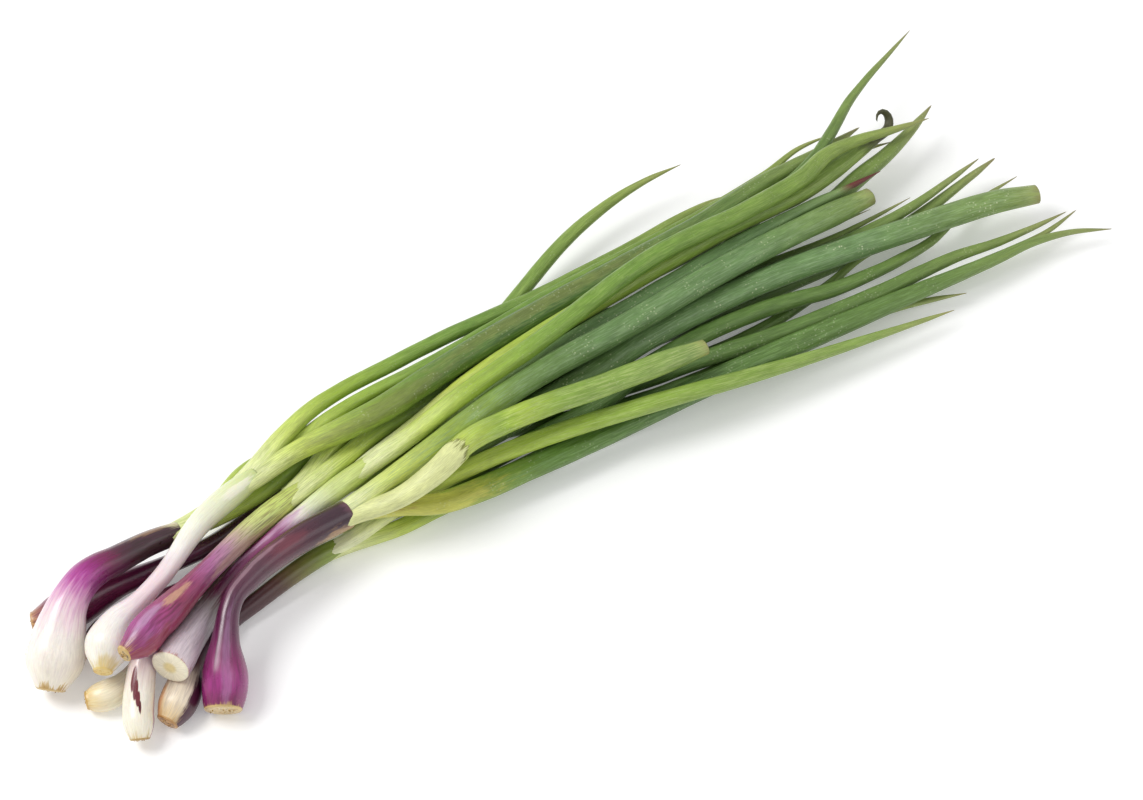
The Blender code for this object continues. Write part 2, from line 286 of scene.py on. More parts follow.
class TubeReader:
    """Reads the centreline of a CAD tube from the rings of its mesh.

    Attributes:
        WELD: How near two corners are to be one, in metres.
        FLAT: The bend under which two facets are one face, in radians.
        LATE: A corner this far ahead, as a share of the step, is still in the ring.
        EARLY: A corner this far ahead is already in the ring after the next.
    """

    WELD = 2e-6
    FLAT = 0.002
    LATE = 0.4
    EARLY = 1.5

    def __init__(self, node: str, part: Part) -> None:
        """Merges a copy of the node's triangles and finds its first ring.

        Args:
            node: The CAD node's name.
            part: What it is, which says how many sides its rings have.
        """
        self.sides = part.value
        mesh = bmesh.new()
        mesh.from_mesh(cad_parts[node].data)
        bmesh.ops.remove_doubles(mesh, verts=mesh.verts, dist=self.WELD)
        mesh.verts.index_update()
        self.places = np.array([vert.co for vert in mesh.verts]) / MM
        self.links = [{edge.other_vert(v).index for edge in v.link_edges} for v in mesh.verts]
        bmesh.ops.dissolve_limit(mesh, angle_limit=self.FLAT, verts=[], edges=mesh.edges)
        caps = [face for face in mesh.faces if self.is_cap(face)]
        cap = min(caps, key=lambda face: face.calc_center_median().x)
        self.first = {vert.index for vert in cap.verts}
        mesh.free()

    def is_cap(self, face: bmesh.types.BMFace) -> bool:
        """Returns whether a face may be the tube's root-side end."""
        full = len(face.verts) in (self.sides, self.sides - 1)
        return full and face.normal.z > -0.99 and face.normal.x < 0.6

    def read(self) -> Centreline:
        """Walks ring by ring to the far end.

        Returns:
            The middles and radii of the rings.
        """
        ring, seen, rings = set(self.first), set(self.first), []
        while ring:
            ahead = set().union(*(self.links[i] for i in ring)) - seen
            if not ahead:
                rings.append(sorted(ring))
                break
            near = np.array(sorted(ahead))
            middle = self.places[sorted(ring)].mean(axis=0)
            way = self.places[near].mean(axis=0) - middle
            if rings:
                came = middle - self.places[rings[-1]].mean(axis=0)
                way = way / np.linalg.norm(way) + came / np.linalg.norm(came)
            far = (self.places[near] - middle) @ (way / np.linalg.norm(way))
            late = set(near[far < self.LATE * np.median(far)].tolist())
            if late and len(ring) < self.sides:
                ring |= late
                seen |= late
                continue
            rings.append(sorted(ring))
            ring = set(near[far < self.EARLY * np.median(far)].tolist())
            seen |= ring
        middles = np.array([self.places[one].mean(axis=0) for one in rings])
        spread = [self.places[one] - middle for one, middle in zip(rings, middles)]
        girths = np.array([np.linalg.norm(one, axis=1).max() for one in spread])
        return Centreline(middles, girths)


@dataclass
class Spine:
    """The rings that a skin is grown along, in millimetres.

    Attributes:
        line: The tube that they lie on.
        runs: Where each ring lies on it.
        girths: The radius of each.
        marks: The distance painted on each, which may differ from its place.
        inside: 1 on rings of an inner wall, 0 elsewhere.
    """

    line: Centreline
    runs: np.ndarray
    girths: np.ndarray
    marks: np.ndarray
    inside: np.ndarray

    def frames(self) -> tuple[np.ndarray, np.ndarray]:
        """Finds an upright direction on every ring, with no twist.

        Returns:
            The sideways and upward directions of every ring.
        """
        ways = self.line.at(self.runs + 1.0).points - self.line.at(self.runs - 1.0).points
        ways /= np.linalg.norm(ways, axis=1)[:, None]
        order = np.argsort(self.runs, kind="stable")
        ups = np.zeros_like(ways)
        up = np.array((0.0, 0.0, 1.0))
        for index in order:
            up = up - ways[index] * up.dot(ways[index])
            up /= np.linalg.norm(up)
            ups[index] = up
        return np.cross(ways, ups), ups

    def mesh(self, name: str) -> bpy.types.Mesh:
        """Makes the row of points that the skin's tree reads.

        Args:
            name: The mesh's name.

        Returns:
            A mesh of one point per ring, with its facts as attributes.
        """
        sides, ups = self.frames()
        mesh = bpy.data.meshes.new(name)
        mesh.from_pydata((self.line.at(self.runs).points * MM).tolist(), [], [])
        vectors = (("side", sides), ("up", ups))
        numbers = (("girth", self.girths), ("mark", self.marks), ("inside", self.inside))
        for title, rows in vectors:
            made = mesh.attributes.new(title, "FLOAT_VECTOR", "POINT")
            made.data.foreach_set("vector", rows.astype(np.float32).ravel())
        for title, rows in numbers:
            made = mesh.attributes.new(title, "FLOAT", "POINT")
            made.data.foreach_set("value", np.asarray(rows, np.float32))
        return mesh


@dataclass(frozen=True)
class Skin:
    """How the surface of a stem or leaf is shaped, in millimetres.

    Attributes:
        sides: Points round each ring.
        flatness: Height as a share of width.
        groove: Depth of the shallow channel along the upper side.
        rib_count: Fine ribs round the tube.
        rib_depth: Their height.
        lump_depth: Height of the slow unevenness.
        edge: Where an outer sheath ends, from the root end; 0 for none.
        edge_depth: The sheath's thickness.
        edge_rag: How far its torn edge wanders.
        mouth: The stem's girth at its mouth, as a share of the frame's.
        seed: Fixes the unevenness.
    """

    sides: int = 32
    flatness: float = 1.0
    groove: float = 0.0
    rib_count: float = 24.0
    rib_depth: float = 0.05
    lump_depth: float = 0.2
    edge: float = 0.0
    edge_depth: float = 0.0
    edge_rag: float = 3.0
    mouth: float = 0.66
    seed: float = 0.0


def named_inputs(group: bpy.types.NodeTree, kinds: dict[str, str]) -> dict[str, str]:
    """Gives a tree its named inputs.

    Args:
        group: The tree.
        kinds: Each input's socket type by its name, without the common start.

    Returns:
        Each input's identifier by its name.
    """
    return {
        name: group.interface.new_socket(
            name, in_out="INPUT", socket_type=f"NodeSocket{kind}"
        ).identifier
        for name, kind in kinds.items()
    }


def plain_piece(live: bpy.types.Object) -> bpy.types.Object:
    """Replaces an object and its geometry tree with a plain mesh.

    Args:
        live: The object with the tree on it, which is removed.

    Returns:
        The piece, of the same name, with its faces turned outwards.
    """
    name = live.name
    start = live.data
    graph = bpy.context.evaluated_depsgraph_get()
    mesh = bpy.data.meshes.new_from_object(live.evaluated_get(graph))
    bpy.data.objects.remove(live)
    bpy.data.meshes.remove(start)
    mesh.name = name
    solid = bmesh.new()
    solid.from_mesh(mesh)
    bmesh.ops.dissolve_degenerate(solid, edges=solid.edges, dist=1e-7)
    bmesh.ops.recalc_face_normals(solid, faces=solid.faces)
    solid.to_mesh(mesh)
    solid.free()
    piece = bpy.data.objects.new(name, mesh)
    bpy.context.scene.collection.objects.link(piece)
    return piece


def grown(
    start: bpy.types.Object,
    group: bpy.types.NodeTree,
    keys: dict[str, str],
    values: dict[str, Value | bpy.types.Material],
) -> bpy.types.Object:
    """Runs a tree on an object and makes the result a plain mesh.

    Args:
        start: The object that the tree starts from, which is replaced.
        group: The tree.
        keys: Its inputs' identifiers by name.
        values: What each named input holds.

    Returns:
        The plain piece, of the same name.
    """
    bpy.context.scene.collection.objects.link(start)
    live = start.modifiers.new("grow", "NODES")
    live.node_group = group
    for title, value in values.items():
        live[keys[title]] = value
    return plain_piece(start)


class SkinGrower:
    """The geometry tree that grows a skin round a spine.

    Attributes:
        SHAPES: The inputs that come from a skin, with its fields' names.
        WELD: How near two points are to be merged, in metres.
    """

    SHAPES = {
        "Flatness": "flatness",
        "Groove": "groove",
        "Rib Count": "rib_count",
        "Rib Depth": "rib_depth",
        "Lump Depth": "lump_depth",
        "Sheath Edge": "edge",
        "Sheath Depth": "edge_depth",
        "Sheath Rag": "edge_rag",
        "Seed": "seed",
    }
    WELD = 2e-6

    def __init__(self, low: Vector, high: Vector) -> None:
        """Builds the tree.

        Args:
            low: The lowest corner that the skin may reach.
            high: The highest corner.
        """
        self.low, self.high = tuple(low), tuple(high)
        self.group = bpy.data.node_groups.new("Onion skin", "GeometryNodeTree")
        self.wiring = Wiring(self.group)
        kinds = {"Spine": "Geometry", "Rings": "Int", "Sides": "Int"}
        kinds |= dict.fromkeys(self.SHAPES, "Float")
        kinds |= {"Lowest": "Vector", "Highest": "Vector", "Finish": "Material"}
        self.keys = named_inputs(self.group, kinds)
        self.group.interface.new_socket(
            "Skin", in_out="OUTPUT", socket_type="NodeSocketGeometry"
        )
        self.given = self.wiring.node("NodeGroupInput").outputs
        self.build()

    def sampled(self, title: str, kind: str, ring: Value) -> bpy.types.NodeSocket:
        """Reads one of the spine's facts at a ring.

        Args:
            title: The attribute's name, or "position".
            kind: Its data type.
            ring: The ring's number.

        Returns:
            The value there.
        """
        wiring = self.wiring
        if title == "position":
            field_out = wiring.node("GeometryNodeInputPosition").outputs[0]
        else:
            named = wiring.node("GeometryNodeInputNamedAttribute", data_type=kind)
            named.inputs["Name"].default_value = title
            field_out = named.outputs[0]
        taken = wiring.node("GeometryNodeSampleIndex", data_type=kind, domain="POINT")
        wiring.join(self.given["Spine"], taken.inputs["Geometry"])
        wiring.join(field_out, taken.inputs["Value"])
        wiring.join(ring, taken.inputs["Index"])
        return taken.outputs[0]

    def build(self) -> None:
        """Wires the grid, its wrapping round the spine and its finish."""
        wiring, given = self.wiring, self.given
        across = wiring.total(given["Sides"], 1.0)
        grid = wiring.node(
            "GeometryNodeMeshGrid", {"Vertices X": across, "Vertices Y": given["Rings"]}
        )
        flat = wiring.split(wiring.node("GeometryNodeInputPosition").outputs[0])
        turn = wiring.product(wiring.total(flat[0], 0.5), 2 * np.pi)
        last = wiring.less(given["Rings"], 1.0)
        ring = wiring.math("ROUND", wiring.product(wiring.total(flat[1], 0.5), last))
        middle, side, up = (
            self.sampled(title, "FLOAT_VECTOR", ring) for title in ("position", "side", "up")
        )
        girth, mark, inside = (
            self.sampled(title, "FLOAT", ring) for title in ("girth", "mark", "inside")
        )
        cosine, sine = wiring.math("COSINE", turn), wiring.math("SINE", turn)
        around = wiring.combined(cosine, sine, wiring.product(mark, 0.05))
        radius = self.radius(around, turn, sine, girth, mark)
        height = wiring.product(radius, sine, given["Flatness"])
        width = wiring.product(radius, cosine)
        outward = wiring.vector("ADD", wiring.scaled(side, width), wiring.scaled(up, height))
        place = wiring.vector("ADD", middle, wiring.scaled(outward, MM))
        place = wiring.vector("MAXIMUM", place, given["Lowest"])
        place = wiring.vector("MINIMUM", place, given["Highest"])
        fibre = wiring.combined(cosine, sine, mark)
        kept = self.stored(grid.outputs["Mesh"], "fibre", fibre)
        kept = self.stored(kept, "inside", inside)
        moved = wiring.node("GeometryNodeSetPosition", {"Geometry": kept, "Position": place})
        merged = wiring.node(
            "GeometryNodeMergeByDistance", {"Geometry": moved.outputs[0], "Distance": self.WELD}
        )
        smooth = wiring.node("GeometryNodeSetShadeSmooth", {"Geometry": merged.outputs[0]})
        real = wiring.node("GeometryNodeRealizeInstances", {"Geometry": smooth.outputs[0]})
        dressed = wiring.node(
            "GeometryNodeSetMaterial",
            {"Geometry": real.outputs[0], "Material": given["Finish"]},
        )
        wiring.node("NodeGroupOutput", {"Skin": dressed.outputs[0]})

    def stored(self, mesh: Value, title: str, value: Value) -> bpy.types.NodeSocket:
        """Keeps a value on the skin's points, for its paint to read.

        Args:
            mesh: The skin so far.
            title: The attribute's name.
            value: What it holds: a number for "inside", else a vector.

        Returns:
            The skin with the attribute.
        """
        kind = "FLOAT" if title == "inside" else "FLOAT_VECTOR"
        node = self.wiring.node(
            "GeometryNodeStoreNamedAttribute", data_type=kind, domain="POINT"
        )
        node.inputs["Name"].default_value = title
        self.wiring.join(mesh, node.inputs["Geometry"])
        self.wiring.join(value, node.inputs["Value"])
        return node.outputs[0]

    def radius(self, around: Value, turn: Value, sine: Value, girth: Value, mark: Value) -> Value:
        """Adds ribs, groove, lumps and the sheath's step to the girth.

        Args:
            around: The place round and along the tube.
            turn: The angle round it.
            sine: The angle's sine, 1 at the top.
            girth: The spine's radius.
            mark: The distance along.

        Returns:
            The radius at the point, in millimetres.
        """
        wiring, given = self.wiring, self.given
        seeded = wiring.vector("ADD", around, wiring.combined(given["Seed"], 0.0, given["Seed"]))
        share = wiring.eased(girth, 0.2, 3.0)
        lump = wiring.less(wiring.noise(seeded, 1.3), 0.5)
        lump = wiring.product(lump, given["Lump Depth"], share)
        drift = wiring.product(wiring.noise(seeded, 0.8, 1.0), 5.0)
        wave = wiring.product(turn, given["Rib Count"])
        rib = wiring.math("COSINE", wiring.total(wave, drift))
        rib = wiring.product(rib, given["Rib Depth"], share)
        dip = wiring.math("POWER", wiring.math("MAXIMUM", sine, 0.0), 12.0)
        dip = wiring.product(dip, given["Groove"], girth)
        torn = wiring.noise(wiring.vector("MULTIPLY", seeded, (3.0, 3.0, 0.4)), 2.0)
        rag = wiring.product(wiring.less(torn, 0.5), given["Sheath Rag"])
        over = wiring.less(wiring.total(given["Sheath Edge"], rag), mark)
        step = wiring.product(wiring.eased(over, 0.0, 1.2), given["Sheath Depth"])
        total = wiring.total(girth, wiring.total(lump, rib))
        total = wiring.less(wiring.total(total, step), dip)
        closed = wiring.eased(girth, 0.0, 0.02)
        return wiring.product(wiring.math("MAXIMUM", total, 0.0), closed)

    def grow(
        self, name: str, spine: Spine, skin: Skin, finish: bpy.types.Material
    ) -> bpy.types.Object:
        """Grows one skin and makes it a plain mesh.

        Args:
            name: The piece's name.
            spine: The rings that it follows.
            skin: Its shape.
            finish: Its paint.

        Returns:
            The piece, at the origin.
        """
        row = bpy.data.objects.new(name, spine.mesh(name))
        values = {"Rings": len(spine.marks), "Sides": skin.sides}
        values |= {title: getattr(skin, part) for title, part in self.SHAPES.items()}
        values |= {"Lowest": self.low, "Highest": self.high, "Finish": finish}
        return grown(row, self.group, self.keys, values)


@dataclass(frozen=True)
class Patch:
    """A blot of another colour on a skin: a mark of its own, or a painted highlight.

    Attributes:
        colour: Its paint code.
        run: Its middle, in millimetres from the root end.
        reach: Half its length.
        turn: Its middle round the tube, in degrees; 90 is the top.
        spread: Half its width, as a share of the radius; 3 goes all round.
        rag: How torn its outline is.
        strength: How far it covers.
        soft: How gently its outline fades.
    """

    colour: str
    run: float
    reach: float
    turn: float = 60.0
    spread: float = 1.0
    rag: float = 0.6
    strength: float = 1.0
    soft: float = 0.35


@dataclass(frozen=True)
class Finish:
    """The paint of one stem or leaf.

    Attributes:
        stops: Colours by distance in millimetres; at or above 1000, by share
            of the length in thousandths added to 1000.
        vein: Colour of the fine lengthwise lines.
        vein_share: How strongly they show.
        wander: How far the colours' borders wander, in millimetres.
        patches: Blots over the colours.
        speck: Colour of the small specks.
        speck_share: How many specks there are.
        gloss: Roughness.
        coat: Strength of the thin wet shine.
        bump: Height of the fine relief.
        glow: Share of light that passes through the flesh.
        seed: Varies the noise from piece to piece.
        disc: Colour of the flat root end; none on a leaf.
        core: Colour of its mottling or middle.
        contrast: How much the flesh's lightness varies.
        core_from: How far in from the rim the middle starts; 0 mottles it all.
        STREAK: How fast the streaks change along the piece, per millimetre.
        BLOTCH: The same for the blotches.
        TEAR: The same for a patch's torn outline.
        SPECKS: How many specks and how many groups of them there are in a metre.
    """

    stops: tuple[tuple[float, str], ...]
    vein: str = "3c5a1c"
    vein_share: float = 0.3
    wander: float = 6.0
    patches: tuple[Patch, ...] = ()
    speck: str = "d8e0b0"
    speck_share: float = 0.0
    gloss: float = 0.4
    coat: float = 0.15
    bump: float = 0.12
    glow: float = 0.06
    seed: float = 0.0
    disc: str = "cdb173"
    core: str = "a9824a"
    contrast: float = 0.45
    core_from: float = 0.0

    STREAK = 0.012
    BLOTCH = 0.06
    TEAR = 0.07
    SPECKS = (620.0, 90.0)

    def ramp(self, wiring: Wiring, share: Value, length: float) -> bpy.types.NodeSocket:
        """Builds the row of colours along the piece.

        Args:
            wiring: The material's wiring.
            share: How far along the point is, from 0 to 1.
            length: The piece's length in millimetres.

        Returns:
            The colour.
        """
        node = wiring.node("ShaderNodeValToRGB", {0: share})
        elements = node.color_ramp.elements
        while len(elements) > 1:
            elements.remove(elements[-1])
        for number, (place, code) in enumerate(self.stops):
            at = place / length if place < SHARES else (place - SHARES) / SHARES
            at = min(max(at, 0.0), 1.0)
            element = elements[0] if number == 0 else elements.new(at)
            element.position = at
            element.color = paint(code)
        return node.outputs[0]

    def blot(
        self, wiring: Wiring, under: Value, patch: Patch, fibre: Sockets, number: int
    ) -> bpy.types.NodeSocket:
        """Lays one patch over a colour.

        Args:
            wiring: The material's wiring.
            under: The colour so far.
            patch: What to lay.
            fibre: The point's cosine, sine and distance along.
            number: The patch's number, which varies its outline.

        Returns:
            The colour with the patch.
        """
        angle = np.radians(patch.turn)
        aside = wiring.less(fibre[0], float(np.cos(angle)))
        above = wiring.less(fibre[1], float(np.sin(angle)))
        far = wiring.combined(
            wiring.math("DIVIDE", aside, patch.spread),
            wiring.math("DIVIDE", above, patch.spread),
            wiring.math("DIVIDE", wiring.less(fibre[2], patch.run), patch.reach),
        )
        at = wiring.combined(
            wiring.total(fibre[0], 3.7 * number + self.seed),
            fibre[1],
            wiring.product(fibre[2], self.TEAR),
        )
        strands = wiring.vector("MULTIPLY", at, (1.0, 1.0, 0.2))
        torn = wiring.total(
            wiring.less(wiring.noise(at, 2.6, 6.0), 0.5),
            wiring.less(wiring.noise(strands, 12.0, 4.0), 0.5),
        )
        rag = wiring.product(torn, 1.4 * patch.rag)
        reach = wiring.total(wiring.vector("LENGTH", far), rag)
        cover = wiring.less(1.0, wiring.eased(reach, 1.0 - patch.soft, 1.0 + patch.soft))
        cover = wiring.product(cover, patch.strength)
        return self.mixed(wiring, cover, under, paint(patch.colour))

    @staticmethod
    def mixed(
        wiring: Wiring, share: Value, under: Value, over: Value
    ) -> bpy.types.NodeSocket:
        """Lays one colour over another.

        Args:
            wiring: The material's wiring.
            share: How much of the upper colour shows, from 0 to 1.
            under: The lower colour.
            over: The upper colour.

        Returns:
            The mixed colour.
        """
        node = wiring.node("ShaderNodeMix", data_type="RGBA", clamp_factor=True)
        wiring.join(share, node.inputs[0])
        wiring.join(under, node.inputs[6])
        wiring.join(over, node.inputs[7])
        return node.outputs[2]

    def material(self, name: str, length: float) -> bpy.types.Material:
        """Makes the finish as a material.

        Args:
            name: The material's name.
            length: The piece's length in millimetres.

        Returns:
            The material.
        """
        made = bpy.data.materials.new(name)
        made.use_nodes = True
        made.node_tree.nodes.clear()
        wiring = Wiring(made.node_tree)
        place = wiring.node("ShaderNodeAttribute", attribute_name="fibre")
        fibre = wiring.split(place.outputs["Vector"])
        seeded = wiring.total(fibre[0], self.seed)
        streaky = wiring.combined(seeded, fibre[1], wiring.product(fibre[2], self.STREAK))
        blotchy = wiring.combined(seeded, fibre[1], wiring.product(fibre[2], self.BLOTCH))
        fine = wiring.noise(streaky, 9.0, 4.0)
        finer = wiring.noise(streaky, 26.0, 3.0)
        broad = wiring.noise(blotchy, 1.4, 4.0)
        colour = self.coloured(wiring, fibre, fine, broad, length)
        uneven = wiring.total(wiring.product(finer, 1.3), broad)
        lighter = wiring.total(1.0 - 1.15 * self.contrast, wiring.product(uneven, self.contrast))
        colour = wiring.scaled(colour, lighter)
        if self.speck_share:
            colour = self.speckled(wiring, colour)
        hollow = wiring.node("ShaderNodeAttribute", attribute_name="inside").outputs["Fac"]
        colour = self.mixed(wiring, hollow, colour, paint(HOLLOW))
        relief = wiring.total(fine, wiring.product(finer, 0.6))
        bump = wiring.node("ShaderNodeBump", {"Height": relief, "Distance": 0.4 * MM})
        bump.inputs["Strength"].default_value = self.bump
        rough = wiring.total(self.gloss - 0.12, wiring.product(broad, 0.24))
        shader = wiring.node("ShaderNodeBsdfPrincipled")
        constants = {
            "Coat Weight": self.coat,
            "Coat Roughness": 0.22,
            "Subsurface Weight": self.glow,
            "Subsurface Radius": (1.0, 0.7, 0.4),
            "Subsurface Scale": 3.0 * MM,
        }
        for title, value in constants.items():
            shader.inputs[title].default_value = value
        wiring.join(colour, shader.inputs["Base Color"])
        wiring.join(rough, shader.inputs["Roughness"])
        wiring.join(bump.outputs[0], shader.inputs["Normal"])
        wiring.node("ShaderNodeOutputMaterial", {"Surface": shader.outputs[0]})
        return made

    def coloured(
        self, wiring: Wiring, fibre: Sockets, fine: Value, broad: Value, length: float
    ) -> bpy.types.NodeSocket:
        """Paints the row of colours, the veins, the patches and the root end.

        Args:
            wiring: The material's wiring.
            fibre: The point's cosine, sine and distance along.
            fine: Noise in long narrow streaks.
            broad: Noise in wide blotches.
            length: The piece's length in millimetres.

        Returns:
            The colour.
        """
        shift = wiring.total(wiring.product(fine, 1.2), wiring.product(broad, 0.8))
        shift = wiring.product(wiring.less(shift, 1.0), 2 * self.wander)
        share = wiring.math("DIVIDE", wiring.total(fibre[2], shift), length)
        colour = self.ramp(wiring, share, length)
        cover = wiring.product(wiring.eased(fine, 0.42, 0.68), self.vein_share)
        colour = self.mixed(wiring, cover, colour, paint(self.vein))
        for number, patch in enumerate(self.patches):
            colour = self.blot(wiring, colour, patch, fibre, number)
        return self.root_end(wiring, colour, fibre) if self.disc else colour

    def root_end(self, wiring: Wiring, colour: Value, fibre: Sockets) -> bpy.types.NodeSocket:
        """Paints the flat end, whose marks are below zero.

        Args:
            wiring: The material's wiring.
            colour: The colour so far.
            fibre: The point's cosine, sine and distance along.

        Returns:
            The colour with the flat end and its middle.
        """
        at = wiring.combined(
            wiring.product(fibre[0], fibre[2]), wiring.product(fibre[1], fibre[2]), self.seed
        )
        mottle = wiring.product(wiring.less(wiring.noise(at, 0.9, 5.0), 0.5), 4.0)
        flat = wiring.less(1.0, wiring.eased(wiring.total(fibre[2], mottle), -0.4, 0.5))
        where = wiring.eased(wiring.noise(at, 0.55, 3.0), 0.45, 0.65)
        if self.core_from:
            inwards = wiring.product(fibre[2], -1.0)
            where = wiring.eased(inwards, self.core_from - 0.8, self.core_from + 1.0)
        end = self.mixed(wiring, where, paint(self.disc), paint(self.core))
        return self.mixed(wiring, flat, colour, end)

    def speckled(self, wiring: Wiring, colour: Value) -> bpy.types.NodeSocket:
        """Scatters small specks over a colour.

        Args:
            wiring: The material's wiring.
            colour: The colour so far.

        Returns:
            The colour with the specks.
        """
        place = wiring.node("ShaderNodeTexCoord").outputs["Object"]
        cells = wiring.node("ShaderNodeTexVoronoi", {"Vector": place, "Scale": self.SPECKS[0]})
        near = wiring.less(1.0, wiring.eased(cells.outputs["Distance"], 0.1, 0.34))
        some = wiring.eased(wiring.noise(place, self.SPECKS[1], 3.0), 0.5, 0.62)
        cover = wiring.product(near, some, self.speck_share)
        return self.mixed(wiring, cover, colour, paint(self.speck))


LIME_STOPS = (
    (0, "e8ebbe"), (22, "dbe290"), (48, "c1d056"), (85, "a5be42"), (1420, "8eab3c"),
    (1600, "819f3e"), (1850, "84a04a"), (1965, "9aa65c"), (2000, "9c8e58"),
)
MEADOW_STOPS = (
    (0, "e2e7ac"), (22, "c9d86c"), (50, "9ab53a"), (90, "789a36"), (1450, "6a8e34"),
    (1750, "78943c"), (1900, "8b9e4a"), (1975, "9aa05a"), (2000, "928458"),
)
# Green leaves. The dark middle stops are partly the leaves' own green and partly painted shade,
# for leaves that lie in the gaps under others.
GREEN_AND_SHADE_STOPS = (
    (0, "dfe5a2"), (22, "c0d05c"), (48, "8ca63a"), (90, "587a2c"), (1400, "48692a"),
    (1750, "617f38"), (1900, "80964a"), (1975, "959c5c"), (2000, "8f7e58"),
)
DEEP_STOPS = (
    (0, "e4e9b0"), (22, "cbd76a"), (50, "95ac42"), (95, "6c8b46"), (1450, "62834a"),
    (1750, "678950"), (1930, "7b9556"), (1985, "909a60"), (2000, "8f7e58"),
)
CUT_END = ((1955, "7c964c"), (1990, "9aa85e"), (2000, "8d8a50"))


@dataclass(frozen=True)
class LeafLook:
    """One leaf's ending, shape and paint.

    Attributes:
        stops: Its row of colours.
        end: How it ends.
        patches: Blots on it.
        flatness: Its height as a share of its width.
        groove: Depth of its channel as a share of its radius.
        torn_at: Where an older leaf's torn sheath ends on it; 0 for none.
        bloom: How pale and waxy its veins are.
        specks: How many pale specks it has.
        vein: Colour of its lengthwise lines.
        DRY: Where the stops of a dry pointed tip start.
    """

    stops: tuple[tuple[float, str], ...] = GREEN_AND_SHADE_STOPS
    end: End = End.POINTED
    patches: tuple[Patch, ...] = ()
    flatness: float = 0.88
    groove: float = 0.16
    torn_at: float = 0.0
    bloom: float = 0.35
    specks: float = 0.3
    vein: str = "86a866"

    DRY = 1900

    def finish(self, seed: float) -> Finish:
        """Makes the leaf's paint, which stays green up to a blunt end.

        Args:
            seed: Varies the noise.

        Returns:
            The paint.
        """
        stops = self.stops
        if self.end is End.BLUNT:
            stops = tuple(stop for stop in stops if stop[0] < self.DRY) + CUT_END
        return Finish(
            stops, vein=self.vein, vein_share=self.bloom, wander=9.0, patches=self.patches,
            speck="cfd9ae", speck_share=self.specks, gloss=0.42, coat=0.1, bump=0.5,
            glow=0.04, seed=seed, disc="", contrast=0.7,
        )


